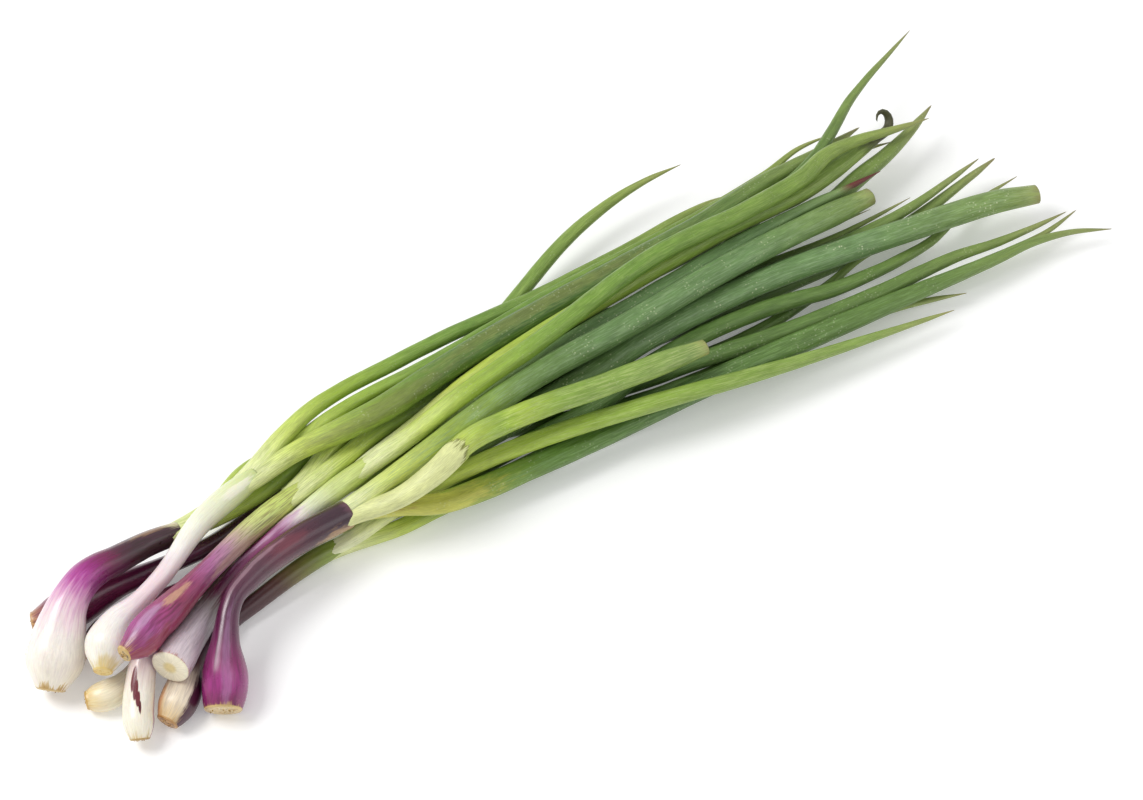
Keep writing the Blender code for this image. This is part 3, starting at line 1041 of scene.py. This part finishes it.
@dataclass(frozen=True)
class Onion:
    """One spring onion: its stem with the bulb, its roots and its leaves.

    Attributes:
        name: The stem of its nodes' names.
        slot: The material slot of its bulb.
        finish: The paint of its stem and bulb.
        leaves: Its leaves, in the frame's order.
        skin: The shape of its stem and bulb.
        stubs: How many dried root stubs are on its flat end.
        PLATE: The rounded root end, as pairs of a distance from the end in
            millimetres and a share of the first full ring's girth.
        LIP: The closed mouth, as pairs of a distance from the mouth in
            millimetres and a share of the last ring's girth.
        RIM: A leaf's open end, as a distance from the end and a cut in
            girth, both in millimetres; the last ring closes it.
        PITCH: The steps between a stem's rings and between a leaf's.
        NECK: How far from its mouth a stem starts to narrow, in millimetres.
        SPREAD: How far from the mouth a leaf has reached its own girth.
        FILLS: A leaf's share of the mouth's girth, by the number of leaves.
        CURLED: How much of a withered leaf's end is wound up.
        TIP: How far from its end a leaf starts to come to its point.
    """

    name: str
    slot: str
    finish: Finish
    leaves: tuple[LeafLook, ...]
    skin: Skin = field(default_factory=Skin)
    stubs: int = 14

    PLATE = ((0.55, 0.0), (0.5, 0.3), (0.45, 0.6), (0.5, 0.82), (0.75, 0.94), (1.15, 0.99))
    LIP = ((-0.3, 0.97), (-0.6, 0.85), (-3.0, 0.4), (-5.0, 0.0))
    RIM = ((0.0, 0.0), (-0.25, 0.55), (-5.0, 0.6), (-14.0, 1.0))
    PITCH = (1.25, 2.0)
    NECK = 24.0
    SPREAD = 62.0
    FILLS = (0.0, 0.0, 0.74, 0.66, 0.6)
    CURLED = 26.0
    TIP = 16.0

    def stem_spine(self, line: Centreline) -> Spine:
        """Rounds the root end and folds the mouth inwards.

        Args:
            line: The stem as the frame has it.

        Returns:
            The rings of its skin.
        """
        length = line.length
        runs = np.arange(1.6, length - 0.4, self.PITCH[0])
        girths = line.at(runs).girths
        first = float(girths[0])
        near = np.sin(np.clip((length - runs) / self.NECK, 0.0, 1.0) * np.pi / 2)
        girths = girths * (self.skin.mouth + (1.0 - self.skin.mouth) * near)
        cap, shares = np.array(self.PLATE).T
        mouth, closing = np.array(self.LIP).T
        marks = -first * (1.0 - shares) - 0.2
        return Spine(
            line,
            np.concatenate((cap, runs, mouth + length)),
            np.concatenate((shares * first, girths, closing * float(girths[-1]))),
            np.concatenate((marks, runs, np.full(len(mouth), length))),
            np.zeros(len(cap) + len(runs) + len(mouth)),
        )

    def leaf_line(self, stem: Centreline, leaf: Centreline) -> Centreline:
        """Carries a leaf back into its stem, and widens it there to fill the mouth.

        Args:
            stem: The stem's tube.
            leaf: The leaf's tube from the mouth on.

        Returns:
            The whole leaf, which leaves the stem at the tuck's depth from its start.
        """
        base = stem.at(np.array((-TUCK, -TUCK / 2, 0.0)) + stem.length)
        aside = leaf.points[0] - base.points[-1]
        along = base.points[-1] - base.points[-2]
        along /= np.linalg.norm(along)
        aside = aside - along * aside.dot(along)
        full = self.FILLS[len(self.leaves)] * stem.girths[-1]
        shares = np.array([0.1, 0.3, 0.62])[:, None]
        points = np.vstack((base.points + shares * aside, leaf.points[1:]))
        blend = np.clip(leaf.runs[1:] / self.SPREAD, 0.0, 1.0)
        blend = blend * blend * (3 - 2 * blend)
        girths = full * (1 - blend) + leaf.girths[1:] * blend
        inner = full * np.array([0.72, 0.84, 1.0])
        return Centreline(points, np.concatenate((inner, girths)))

    def curl(self, line: Centreline) -> Centreline:
        """Winds the last stretch of a leaf into a small withered curl.

        Args:
            line: The leaf.

        Returns:
            The leaf with its end curled up and back.
        """
        last = line.length - self.CURLED
        keep = line.at(np.concatenate((np.arange(0.0, last, 14.0), [last + 2.0])))
        start = keep.points[-1]
        way = line.at(np.array([last + 6.0])).points[0] - start
        way /= np.linalg.norm(way)
        lift = np.array((-0.35, 0.55, 0.75))
        lift -= way * lift.dot(way)
        lift /= np.linalg.norm(lift)
        turns = np.linspace(0.35, 1.45 * np.pi, 10)
        size = 5.4 - 0.55 * turns
        loop = [
            start + way * (9.0 + s * np.sin(t)) + lift * (5.0 - s * np.cos(t))
            for t, s in zip(turns, size)
        ]
        girths = np.linspace(0.75, 0.4, len(loop)) * keep.girths[-1]
        return Centreline(np.vstack((keep.points, loop)), np.concatenate((keep.girths, girths)))

    def leaf_spine(self, line: Centreline, end: End) -> Spine:
        """Gives a leaf its ending.

        Args:
            line: The whole leaf.
            end: How it ends.

        Returns:
            The rings of its skin.
        """
        length = line.length
        runs = np.arange(0.0, length, self.PITCH[1])
        girths = line.at(runs).girths
        girths[0] = 0.0
        if end is End.BLUNT:
            rim = float(line.at(np.array([length])).girths[0])
            extra, cuts = np.array(self.RIM).T
            extra = np.append(extra, extra[-1] - 1.0) + length
            sizes = np.append(rim - cuts, 0.0)
            inside = np.minimum(np.arange(len(extra)), 1.0)
        else:
            left = np.clip((length - runs) / self.TIP, 0.0, 1.0)
            girths *= 0.25 + 0.75 * np.sin(left * np.pi / 2)
            extra, sizes, inside = np.array([length - 0.1]), np.zeros(1), np.zeros(1)
        marks = np.concatenate((runs, np.full(len(extra), length))) - TUCK
        return Spine(
            line,
            np.concatenate((runs, extra)),
            np.concatenate((girths, sizes)),
            marks,
            np.concatenate((np.zeros(len(runs)), inside)),
        )

    def build(self, grower: SkinGrower, tufts: "RootTufts") -> None:
        """Makes every piece of the onion and sets it in the frame.

        Args:
            grower: Grows the skins.
            tufts: Grows the root stubs.
        """
        number = float(self.name[-2:])
        stem = TubeReader(f"{self.name}_bulb", Part.STEM).read()
        finish = self.finish.material(f"{self.name} skin", stem.length)
        piece = grower.grow(f"{self.name}_skin", self.stem_spine(stem), self.skin, finish)
        self.settle(piece, self.slot, f"{self.name}_bulb")
        tufts.grow(self, stem)
        for count, look in enumerate(self.leaves, 1):
            node = f"{self.name}_leaf_{count}"
            line = self.leaf_line(stem, TubeReader(node, Part.LEAF).read())
            if look.end is End.CURLED:
                line = self.curl(line)
            seed = number * 3.1 + count * 1.7
            finish = look.finish(seed).material(f"{node} green", line.length - TUCK)
            shape = Skin(
                sides=28, flatness=look.flatness, groove=look.groove, rib_count=16.0,
                rib_depth=0.07, lump_depth=0.5, edge=look.torn_at,
                edge_depth=0.6 if look.torn_at else 0.0, edge_rag=16.0, seed=seed,
            )
            piece = grower.grow(f"{node}_skin", self.leaf_spine(line, look.end), shape, finish)
            slot = "lime_leaf" if node in LIME_NODES else "green_leaf"
            self.settle(piece, slot, node)

    @staticmethod
    def settle(piece: bpy.types.Object, slot: str, node: str) -> None:
        """Sets a piece in the frame in place of a node.

        Args:
            piece: The finished piece.
            slot: Its material slot; not used.
            node: The CAD node that it stands for.
        """
        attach(piece, BODY)
        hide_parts(node)
        LOG.info("%s: %d faces for %s", piece.name, len(piece.data.polygons), node)


class RootTufts:
    """Dried root stubs that stand on the flat end of each bulb.

    Attributes:
        INPUTS: The tree's inputs and their socket types.
        PLATE: The rooted part of the flat end, as a share of its radius.
    """

    INPUTS = {
        "Start": "Geometry",
        "Radius": "Float",
        "Density": "Float",
        "Seed": "Int",
        "Finish": "Material",
    }
    PLATE = 0.72

    def __init__(self, low: Vector, high: Vector) -> None:
        """Builds the geometry tree.

        Args:
            low: The lowest corner that a stub may reach.
            high: The highest corner.
        """
        self.low, self.high = np.array(low), np.array(high)
        self.group = bpy.data.node_groups.new("Root stubs", "GeometryNodeTree")
        self.keys = named_inputs(self.group, self.INPUTS)
        self.group.interface.new_socket(
            "Stubs", in_out="OUTPUT", socket_type="NodeSocketGeometry"
        )
        self.finish = self.dried_root()
        self.build(Wiring(self.group))

    @staticmethod
    def build(wiring: Wiring) -> None:
        """Wires the plate, the stubs scattered on it and their finish.

        Args:
            wiring: The tree's wiring.
        """
        given = wiring.node("NodeGroupInput").outputs
        plate = wiring.node(
            "GeometryNodeMeshCircle",
            {"Vertices": 24, "Radius": given["Radius"]},
            fill_type="NGON",
        )
        spots = wiring.node(
            "GeometryNodeDistributePointsOnFaces",
            {"Mesh": plate.outputs[0], "Density": given["Density"], "Seed": given["Seed"]},
        )
        stub = wiring.node(
            "GeometryNodeMeshCone",
            {"Vertices": 7, "Side Segments": 3, "Radius Top": 0.14 * MM,
             "Radius Bottom": 0.42 * MM, "Depth": 0.9 * MM},
        )
        tilt = wiring.node(
            "FunctionNodeRandomValue",
            {"Seed": given["Seed"], 0: (-0.6, -0.6, 0.0), 1: (0.6, 0.6, 6.0)},
            data_type="FLOAT_VECTOR",
        )
        size = wiring.node(
            "FunctionNodeRandomValue", {"Seed": given["Seed"], 2: 0.5, 3: 1.2}, data_type="FLOAT"
        )
        placed = wiring.node(
            "GeometryNodeInstanceOnPoints",
            {"Points": spots.outputs[0], "Instance": stub.outputs[0], "Scale": size.outputs[1]},
        )
        turned = wiring.node(
            "GeometryNodeRotateInstances",
            {"Instances": placed.outputs[0], "Rotation": tilt.outputs[0]},
        )
        real = wiring.node("GeometryNodeRealizeInstances", {"Geometry": turned.outputs[0]})
        dressed = wiring.node(
            "GeometryNodeSetMaterial",
            {"Geometry": real.outputs[0], "Material": given["Finish"]},
        )
        wiring.node("NodeGroupOutput", {"Stubs": dressed.outputs[0]})

    @staticmethod
    def dried_root() -> bpy.types.Material:
        """Makes the fibrous tan finish of the stubs.

        Returns:
            The material.
        """
        made = bpy.data.materials.new("dried root")
        made.use_nodes = True
        made.node_tree.nodes.clear()
        wiring = Wiring(made.node_tree)
        place = wiring.node("ShaderNodeTexCoord").outputs["Object"]
        mottle = wiring.eased(wiring.noise(place, 900.0, 4.0), 0.35, 0.7)
        colour = Finish.mixed(wiring, mottle, paint("caa868"), paint("7f5a2c"))
        shader = wiring.node("ShaderNodeBsdfPrincipled")
        shader.inputs["Roughness"].default_value = 0.75
        wiring.join(colour, shader.inputs["Base Color"])
        wiring.node("ShaderNodeOutputMaterial", {"Surface": shader.outputs[0]})
        return made

    def grow(self, onion: Onion, stem: Centreline) -> None:
        """Grows the stubs of one bulb.

        Args:
            onion: The onion.
            stem: Its tube.
        """
        if not onion.stubs:
            return
        name = f"{onion.name}_roots"
        start = bpy.data.objects.new(name, bpy.data.meshes.new(name))
        radius = float(stem.girths[0]) * self.PLATE * MM
        values = {
            "Radius": radius,
            "Density": onion.stubs / (np.pi * radius**2),
            "Seed": int(onion.name[-2:]),
            "Finish": self.finish,
        }
        piece = grown(start, self.group, self.keys, values)
        ends = stem.at(np.array([0.9, 3.0])).points
        way = Vector(ends[0] - ends[1])
        piece.data.transform(way.to_track_quat("Z", "Y").to_matrix().to_4x4())
        points = np.array([vert.co for vert in piece.data.vertices]) + ends[0] * MM
        points = np.clip(points, self.low, self.high)
        piece.data.vertices.foreach_set("co", points.astype(np.float32).ravel())
        piece.data.update()
        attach(piece, BODY)
        LOG.info("%s: %d faces", name, len(piece.data.polygons))


@dataclass(frozen=True)
class Studio:
    """The pale floor, the soft lights and the camera.

    Attributes:
        aim: Where the camera looks, in millimetres.
        azimuth: Its bearing in degrees.
        elevation: Its height over the horizon in degrees.
        distance: How far off it is, in metres.
        lens: Its focal length, in millimetres.
        sensor: Its sensor's width.
        reach: How far the floor runs from the middle, in metres.
        room: Strength of the even light from all round.
        lamps: Each soft lamp's name, place, power in watts and side in metres.
    """

    aim: Place = (0.66, -11.3, 0.0)
    azimuth: float = -28.0
    elevation: float = 55.0
    distance: float = 1.2
    lens: float = 85.0
    sensor: float = 36.0
    reach: float = 6.0
    room: float = 0.62
    lamps: tuple[tuple[str, Place, float, float], ...] = (
        ("key", (-0.85, 0.55, 1.4), 16.0, 0.8),
        ("fill", (0.9, -1.1, 1.3), 4.0, 1.2),
    )

    def floor(self) -> None:
        """Lays the pale floor."""
        mesh = bpy.data.meshes.new("floor")
        far = self.reach
        corners = [(-far, -far, 0), (far, -far, 0), (far, far, 0), (-far, far, 0)]
        mesh.from_pydata(corners, [], [(0, 1, 2, 3)])
        floor = bpy.data.objects.new("floor", mesh)
        bpy.context.scene.collection.objects.link(floor)
        made = bpy.data.materials.new("pale floor")
        made.use_nodes = True
        shader = made.node_tree.nodes["Principled BSDF"]
        constants = {
            "Base Color": (0.9, 0.9, 0.9, 1.0),
            "Roughness": 0.9,
            "Specular IOR Level": 0.1,
            "Emission Color": (1.0, 1.0, 1.0, 1.0),
            "Emission Strength": 0.18,
        }
        for title, value in constants.items():
            shader.inputs[title].default_value = value
        mesh.materials.append(made)
        floor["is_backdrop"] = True

    @staticmethod
    def lamp(name: str, place: Place, power: float, size: float) -> None:
        """Hangs one soft square lamp, aimed at the bunch.

        Args:
            name: The lamp's name.
            place: Where it hangs, in metres.
            power: Its power in watts.
            size: Its side in metres.
        """
        lamp = bpy.data.lights.new(name, "AREA")
        lamp.energy = power
        lamp.size = size
        held = bpy.data.objects.new(name, lamp)
        held.location = place
        held.rotation_mode = "QUATERNION"
        held.rotation_quaternion = Vector(place).to_track_quat("Z", "Y")
        bpy.context.scene.collection.objects.link(held)

    def lights(self) -> None:
        """Lights the room evenly, with a soft lamp from behind on the left."""
        world = bpy.data.worlds.new("room")
        world.use_nodes = True
        ground = world.node_tree.nodes["Background"]
        ground.inputs["Color"].default_value = (1.0, 1.0, 1.0, 1.0)
        ground.inputs["Strength"].default_value = self.room
        bpy.context.scene.world = world
        for name, place, power, size in self.lamps:
            self.lamp(name, place, power, size)

    def camera(self) -> None:
        """Sets the camera up."""
        bearing, rise = np.radians(self.azimuth), np.radians(self.elevation)
        back = Vector((
            np.sin(bearing) * np.cos(rise), -np.cos(bearing) * np.cos(rise), np.sin(rise)
        ))
        camera = bpy.data.cameras.new("camera")
        camera.lens = self.lens
        camera.sensor_width = self.sensor
        camera.clip_start, camera.clip_end = 0.05, 50.0
        held = bpy.data.objects.new("camera", camera)
        held.location = Vector(self.aim) * MM + back * self.distance
        held.rotation_mode = "QUATERNION"
        held.rotation_quaternion = back.to_track_quat("Z", "Y")
        bpy.context.scene.collection.objects.link(held)
        bpy.context.scene.camera = held
        bpy.context.scene.view_settings.view_transform = "Standard"

    def build(self) -> None:
        """Sets up the floor, the lights and the camera."""
        self.camera()
        self.floor()
        self.lights()


LIME = LeafLook(LIME_STOPS, vein="c9d68c", bloom=0.3, specks=0.1)
MEADOW = LeafLook(MEADOW_STOPS, vein="a9c06a", bloom=0.3, specks=0.15)
GREEN = LeafLook(GREEN_AND_SHADE_STOPS, vein="7f9858", bloom=0.35)
OLIVE = LeafLook(GREEN_AND_SHADE_STOPS, vein="8a9a58", bloom=0.4, specks=0.3, patches=(
    Patch("6f6a38", 60, 40, 60, 0.7, 0.9, 0.4),
    Patch("8a8a48", 150, 60, 100, 0.5, 0.9, 0.35),
))

ONIONS = (
    Onion(
        "onion_01", "pink_skin",
        Finish(
            ((0, "b9965a"), (1.6, "cdb27a"), (2.8, "efe7d6"), (22, "f5eee6"), (32, "ecd3da"),
             (40, "d69ac2"), (46, "b44a9c"), (53, "962078"), (60, "701648"), (66, "4c1c30"),
             (74, "371d22"), (96, "3a2228")),
            vein="8f3a78", vein_share=0.1, wander=6.0, gloss=0.3, coat=0.4, glow=0.2,
            contrast=0.25, disc="cdb27a", core="a8824a",
            patches=(
                Patch("c3bb92", 98, 8, 140, 0.8, 0.8),
                Patch("5a1c46", 56, 12, 20, 0.5, 0.9, 0.5),
                Patch("a8825a", 82, 10, 120, 0.3, 1.2, 0.5),
            ), seed=1.0,
        ),
        (MEADOW, GREEN), skin=Skin(mouth=0.86, seed=1.0), stubs=6,
    ),
    Onion(
        "onion_02", "white_skin",
        Finish(
            ((0, "e2cf98"), (4, "f5f1e3"), (22, "f8f5ef"), (34, "f0dce1"), (48, "eedade"),
             (60, "f3ebe8"), (74, "f1f1e0"), (90, "e6ebc6"), (104, "d3de9e"), (111, "c8d888")),
            vein="dcc4c6", vein_share=0.18, wander=6.0, gloss=0.32, coat=0.35, glow=0.25,
            contrast=0.25, disc="ddc27a", core="c9a24f", seed=2.0,
            patches=(
                Patch("d9c07c", 2, 3.5, 60, 0.9, 0.5, 0.7),
                Patch("f4f0e0", 100, 9, 70, 0.35, 0.9, 0.7),
            ),
        ),
        (MEADOW, MEADOW, OLIVE), stubs=0,
    ),
    Onion(
        "onion_03", "red_skin",
        Finish(
            ((0, "b98a5a"), (2.5, "95406e"), (12, "ab4f92"), (24, "9f3a72"), (34, "92385a"),
             (44, "9a4270"), (56, "ad6698"), (66, "bd8fa6"), (74, "c9b69c"), (82, "c9cf85"),
             (95, "cbda76"), (113, "c5d26f")),
            vein="5f1a3e", vein_share=0.55, wander=7.0, gloss=0.36, coat=0.3, glow=0.08,
            disc="c8a86a", core="3a2412", seed=3.0,
            patches=(
                Patch("d0a284", 34, 8, 88, 0.3, 1.0, 0.75),
                Patch("8f2c34", 12, 11, 10, 0.55, 0.8, 0.7),
                Patch("8a2a3c", 32, 20, -10, 0.6, 0.9, 0.6),
                Patch("7a2338", 46, 16, 130, 0.4, 0.9, 0.6),
                Patch("c4a08e", 68, 16, 20, 0.5, 0.9, 0.6),
                # A painted highlight: a pale lilac spot where light shines on the bulb.
                Patch("c9a9c9", 16, 10, 100, 0.25, 0.5, 0.5),
            ),
        ),
        (GREEN, GREEN),
    ),
    Onion(
        "onion_04", "red_skin",
        Finish(
            ((0, "b98d86"), (1.5, "d9c9cf"), (12, "cfc0c8"), (26, "bcaeb6"), (36, "8f8583"),
             (42, "6f2d4c"), (50, "5f1b40"), (60, "7d285e"), (72, "882c66"), (80, "94477c"),
             (86, "c7a5ba"), (92, "ece2dc"), (97, "e4eac4"), (110, "d0dd90"), (133, "c2d270")),
            vein="4d1a3c", vein_share=0.16, wander=5.0, gloss=0.3, coat=0.4, glow=0.12,
            disc="efe6cc", core="e0cd94", core_from=5.6, seed=4.0,
            patches=(Patch("c79fbe", 74, 20, 105, 0.22, 0.5, 0.6),),
        ),
        (
            LeafLook(LIME_STOPS, End.CURLED, vein="c9d68c", bloom=0.3, specks=0.1,
                     patches=(Patch("4a4a2a", 305, 22, 90, 3.0, 0.3),)),
            MEADOW,
        ),
        skin=Skin(edge=90.0, edge_depth=0.28, edge_rag=9.0, seed=4.0), stubs=0,
    ),
    Onion(
        "onion_05", "red_skin",
        Finish(
            ((0, "b8935c"), (2.0, "84285e"), (12, "9c2a7c"), (20, "8a2466"), (32, "5f1f48"),
             (44, "54203f"), (56, "582c40"), (64, "56323f"), (72, "633041"), (84, "552636"),
             (98, "3d222e"), (108, "3a1f2b"), (111, "6a4550")),
            vein="3b1230", vein_share=0.35, wander=3.0, gloss=0.28, coat=0.45, glow=0.06,
            disc="d1b576", core="b08a4c", seed=5.0,
            patches=(
                # The next two blots are painted highlights: pale streaks where light shines on
                # the glossy purple bulb and neck.
                Patch("b98fb8", 20, 22, 78, 0.22, 0.7, 0.3),
                Patch("c9a3b0", 58, 22, 110, 0.2, 0.8, 0.3),
                Patch("7d3a45", 80, 8, 80, 0.5, 0.9, 0.4),
                Patch("b08a5f", 104, 12, -15, 0.7, 0.8, 0.8),
            ),
        ),
        (
            LeafLook(DEEP_STOPS, End.BLUNT, vein="93ab7c", bloom=0.45, specks=0.5, groove=0.04),
            LeafLook(DEEP_STOPS, vein="8aa878", bloom=0.35, specks=0.4,
                     patches=(Patch("6b2f2a", 296, 14, 90, 3.0, 0.3),)),
            LeafLook(LIME_STOPS, End.BLUNT, vein="c9d68c", bloom=0.35, specks=0.2, groove=0.04,
                     flatness=0.8, torn_at=54.0, patches=(
                         Patch("5c5428", 25, 32, 70, 2.6, 0.24, 0.75, 0.03),
                         Patch("d6da98", 24.6, 31, 70, 2.6, 0.24, 1.0, 0.05),
                     )),
            LeafLook(GREEN_AND_SHADE_STOPS, patches=(
                Patch("c9c258", 30, 34, 50, 1.5, 0.8, 0.7),
                Patch("8f4f38", 8, 16, 70, 0.7, 1.2, 0.7),
            )),
        ),
        skin=Skin(mouth=0.95, seed=5.0), stubs=10,
    ),
    Onion(
        "onion_06", "red_skin",
        Finish(
            ((0, "c9a36a"), (3, "e0c79c"), (10, "eadcc4"), (20, "e4d6c2"), (27, "7a4a55"),
             (34, "4b1d38"), (44, "3f1b30"), (70, "4a2b2e"), (80, "54382f"), (90, "6f6a35"),
             (104, "7f9238"), (117, "8ba53f")),
            vein="5b2a33", vein_share=0.2, wander=4.0, gloss=0.36, coat=0.25, glow=0.08,
            disc="c99a5c", core="8a5c2c", seed=6.0,
            patches=(
                Patch("471830", 15, 19, -14, 0.98, 0.3, 1.0, 0.12),
                Patch("c98f5a", 8, 9, 150, 0.45, 0.7, 0.8),
            ),
        ),
        (LIME, GREEN), stubs=12,
    ),
    Onion(
        "onion_07", "white_skin",
        Finish(
            ((0, "b99c62"), (1.6, "d9c79a"), (4, "f1ebd8"), (20, "f3eee0"), (30, "ead9d5"),
             (45, "d7b3c1"),
             (60, "b58fa6"), (80, "a8a27f"), (100, "a5b45c"), (128, "96ab45")),
            vein="c9b89a", vein_share=0.16, wander=5.0, gloss=0.28, coat=0.4, glow=0.28,
            contrast=0.25, disc="c2a468", core="9c7a42", seed=7.0,
            patches=(
                Patch("c193ae", 9, 13, -14, 0.5, 0.5, 0.95, 0.2),
                Patch("6a2a52", 4, 4, -12, 0.3, 0.9, 0.8),
                Patch("6e1f2a", 25, 5, 108, 0.2, 0.25, 1.0, 0.15),
                Patch("6e1f2a", 20.5, 4.5, 95, 0.17, 0.25, 1.0, 0.15),
                Patch("6e1f2a", 16.5, 4, 84, 0.14, 0.2, 1.0, 0.15),
                Patch("5c1822", 12.5, 3.5, 76, 0.09, 0.2, 1.0, 0.15),
            ),
        ),
        (GREEN, GREEN), stubs=8,
    ),
    Onion(
        "onion_08", "white_skin",
        Finish(
            ((0, "d2ab5c"), (3, "e6d09c"), (9, "f0e7cc"), (20, "f0e9d6"), (34, "e8d7d1"),
             (50, "c9a3b4"), (80, "9a8f6a"), (100, "93a551"), (127, "86a03f")),
            vein="c9ab74", vein_share=0.22, wander=4.0, gloss=0.3, coat=0.35, glow=0.25,
            contrast=0.3, disc="cda85c", core="8a6430", seed=8.0,
        ),
        (LeafLook(DEEP_STOPS, End.BLUNT, vein="9db888", bloom=0.4, specks=0.7, groove=0.04),
         GREEN), stubs=8,
    ),
    Onion(
        "onion_09", "pink_skin",
        Finish(
            ((0, "c79a66"), (4, "a06a5c"), (8, "6f2142"), (20, "7a2450"), (40, "6c1f46"),
             (60, "571c3e"), (80, "481b36"), (100, "482938"), (115, "5a583a"), (124, "7d8a44")),
            vein="3d1026", vein_share=0.4, wander=4.0, gloss=0.28, coat=0.45, glow=0.05,
            disc="c9a06a", core="9a7040", seed=9.0,
            # A painted highlight: a pale streak along the lit upper side of the dark neck.
            patches=(Patch("b7809c", 38, 26, 118, 0.18, 0.4, 0.6),),
        ),
        (GREEN, GREEN), stubs=10,
    ),
    Onion(
        "onion_10", "red_skin",
        Finish(
            ((0, "b98a5a"), (5, "5f1c3a"), (30, "5a1c36"), (60, "4f1a30"), (90, "54302e"),
             (110, "66602f"), (119, "7e8a3c")),
            vein="2f0d1d", vein_share=0.35, wander=4.0, gloss=0.3, coat=0.4, glow=0.05,
            disc="b98a5a", core="8a5c34", seed=10.0,
        ),
        (GREEN, GREEN, GREEN), stubs=6,
    ),
)


def main() -> None:
    """Builds the studio and every onion."""
    logging.basicConfig(level=logging.INFO, format="%(message)s")
    low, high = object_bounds()
    Studio().build()
    lowest = Vector((low.x, low.y, max(low.z, 0.0) + FLOOR_GAP))
    grower = SkinGrower(lowest, high)
    tufts = RootTufts(lowest, high)
    for onion in ONIONS:
        onion.build(grower, tufts)


if __name__ == "__main__":
    main()
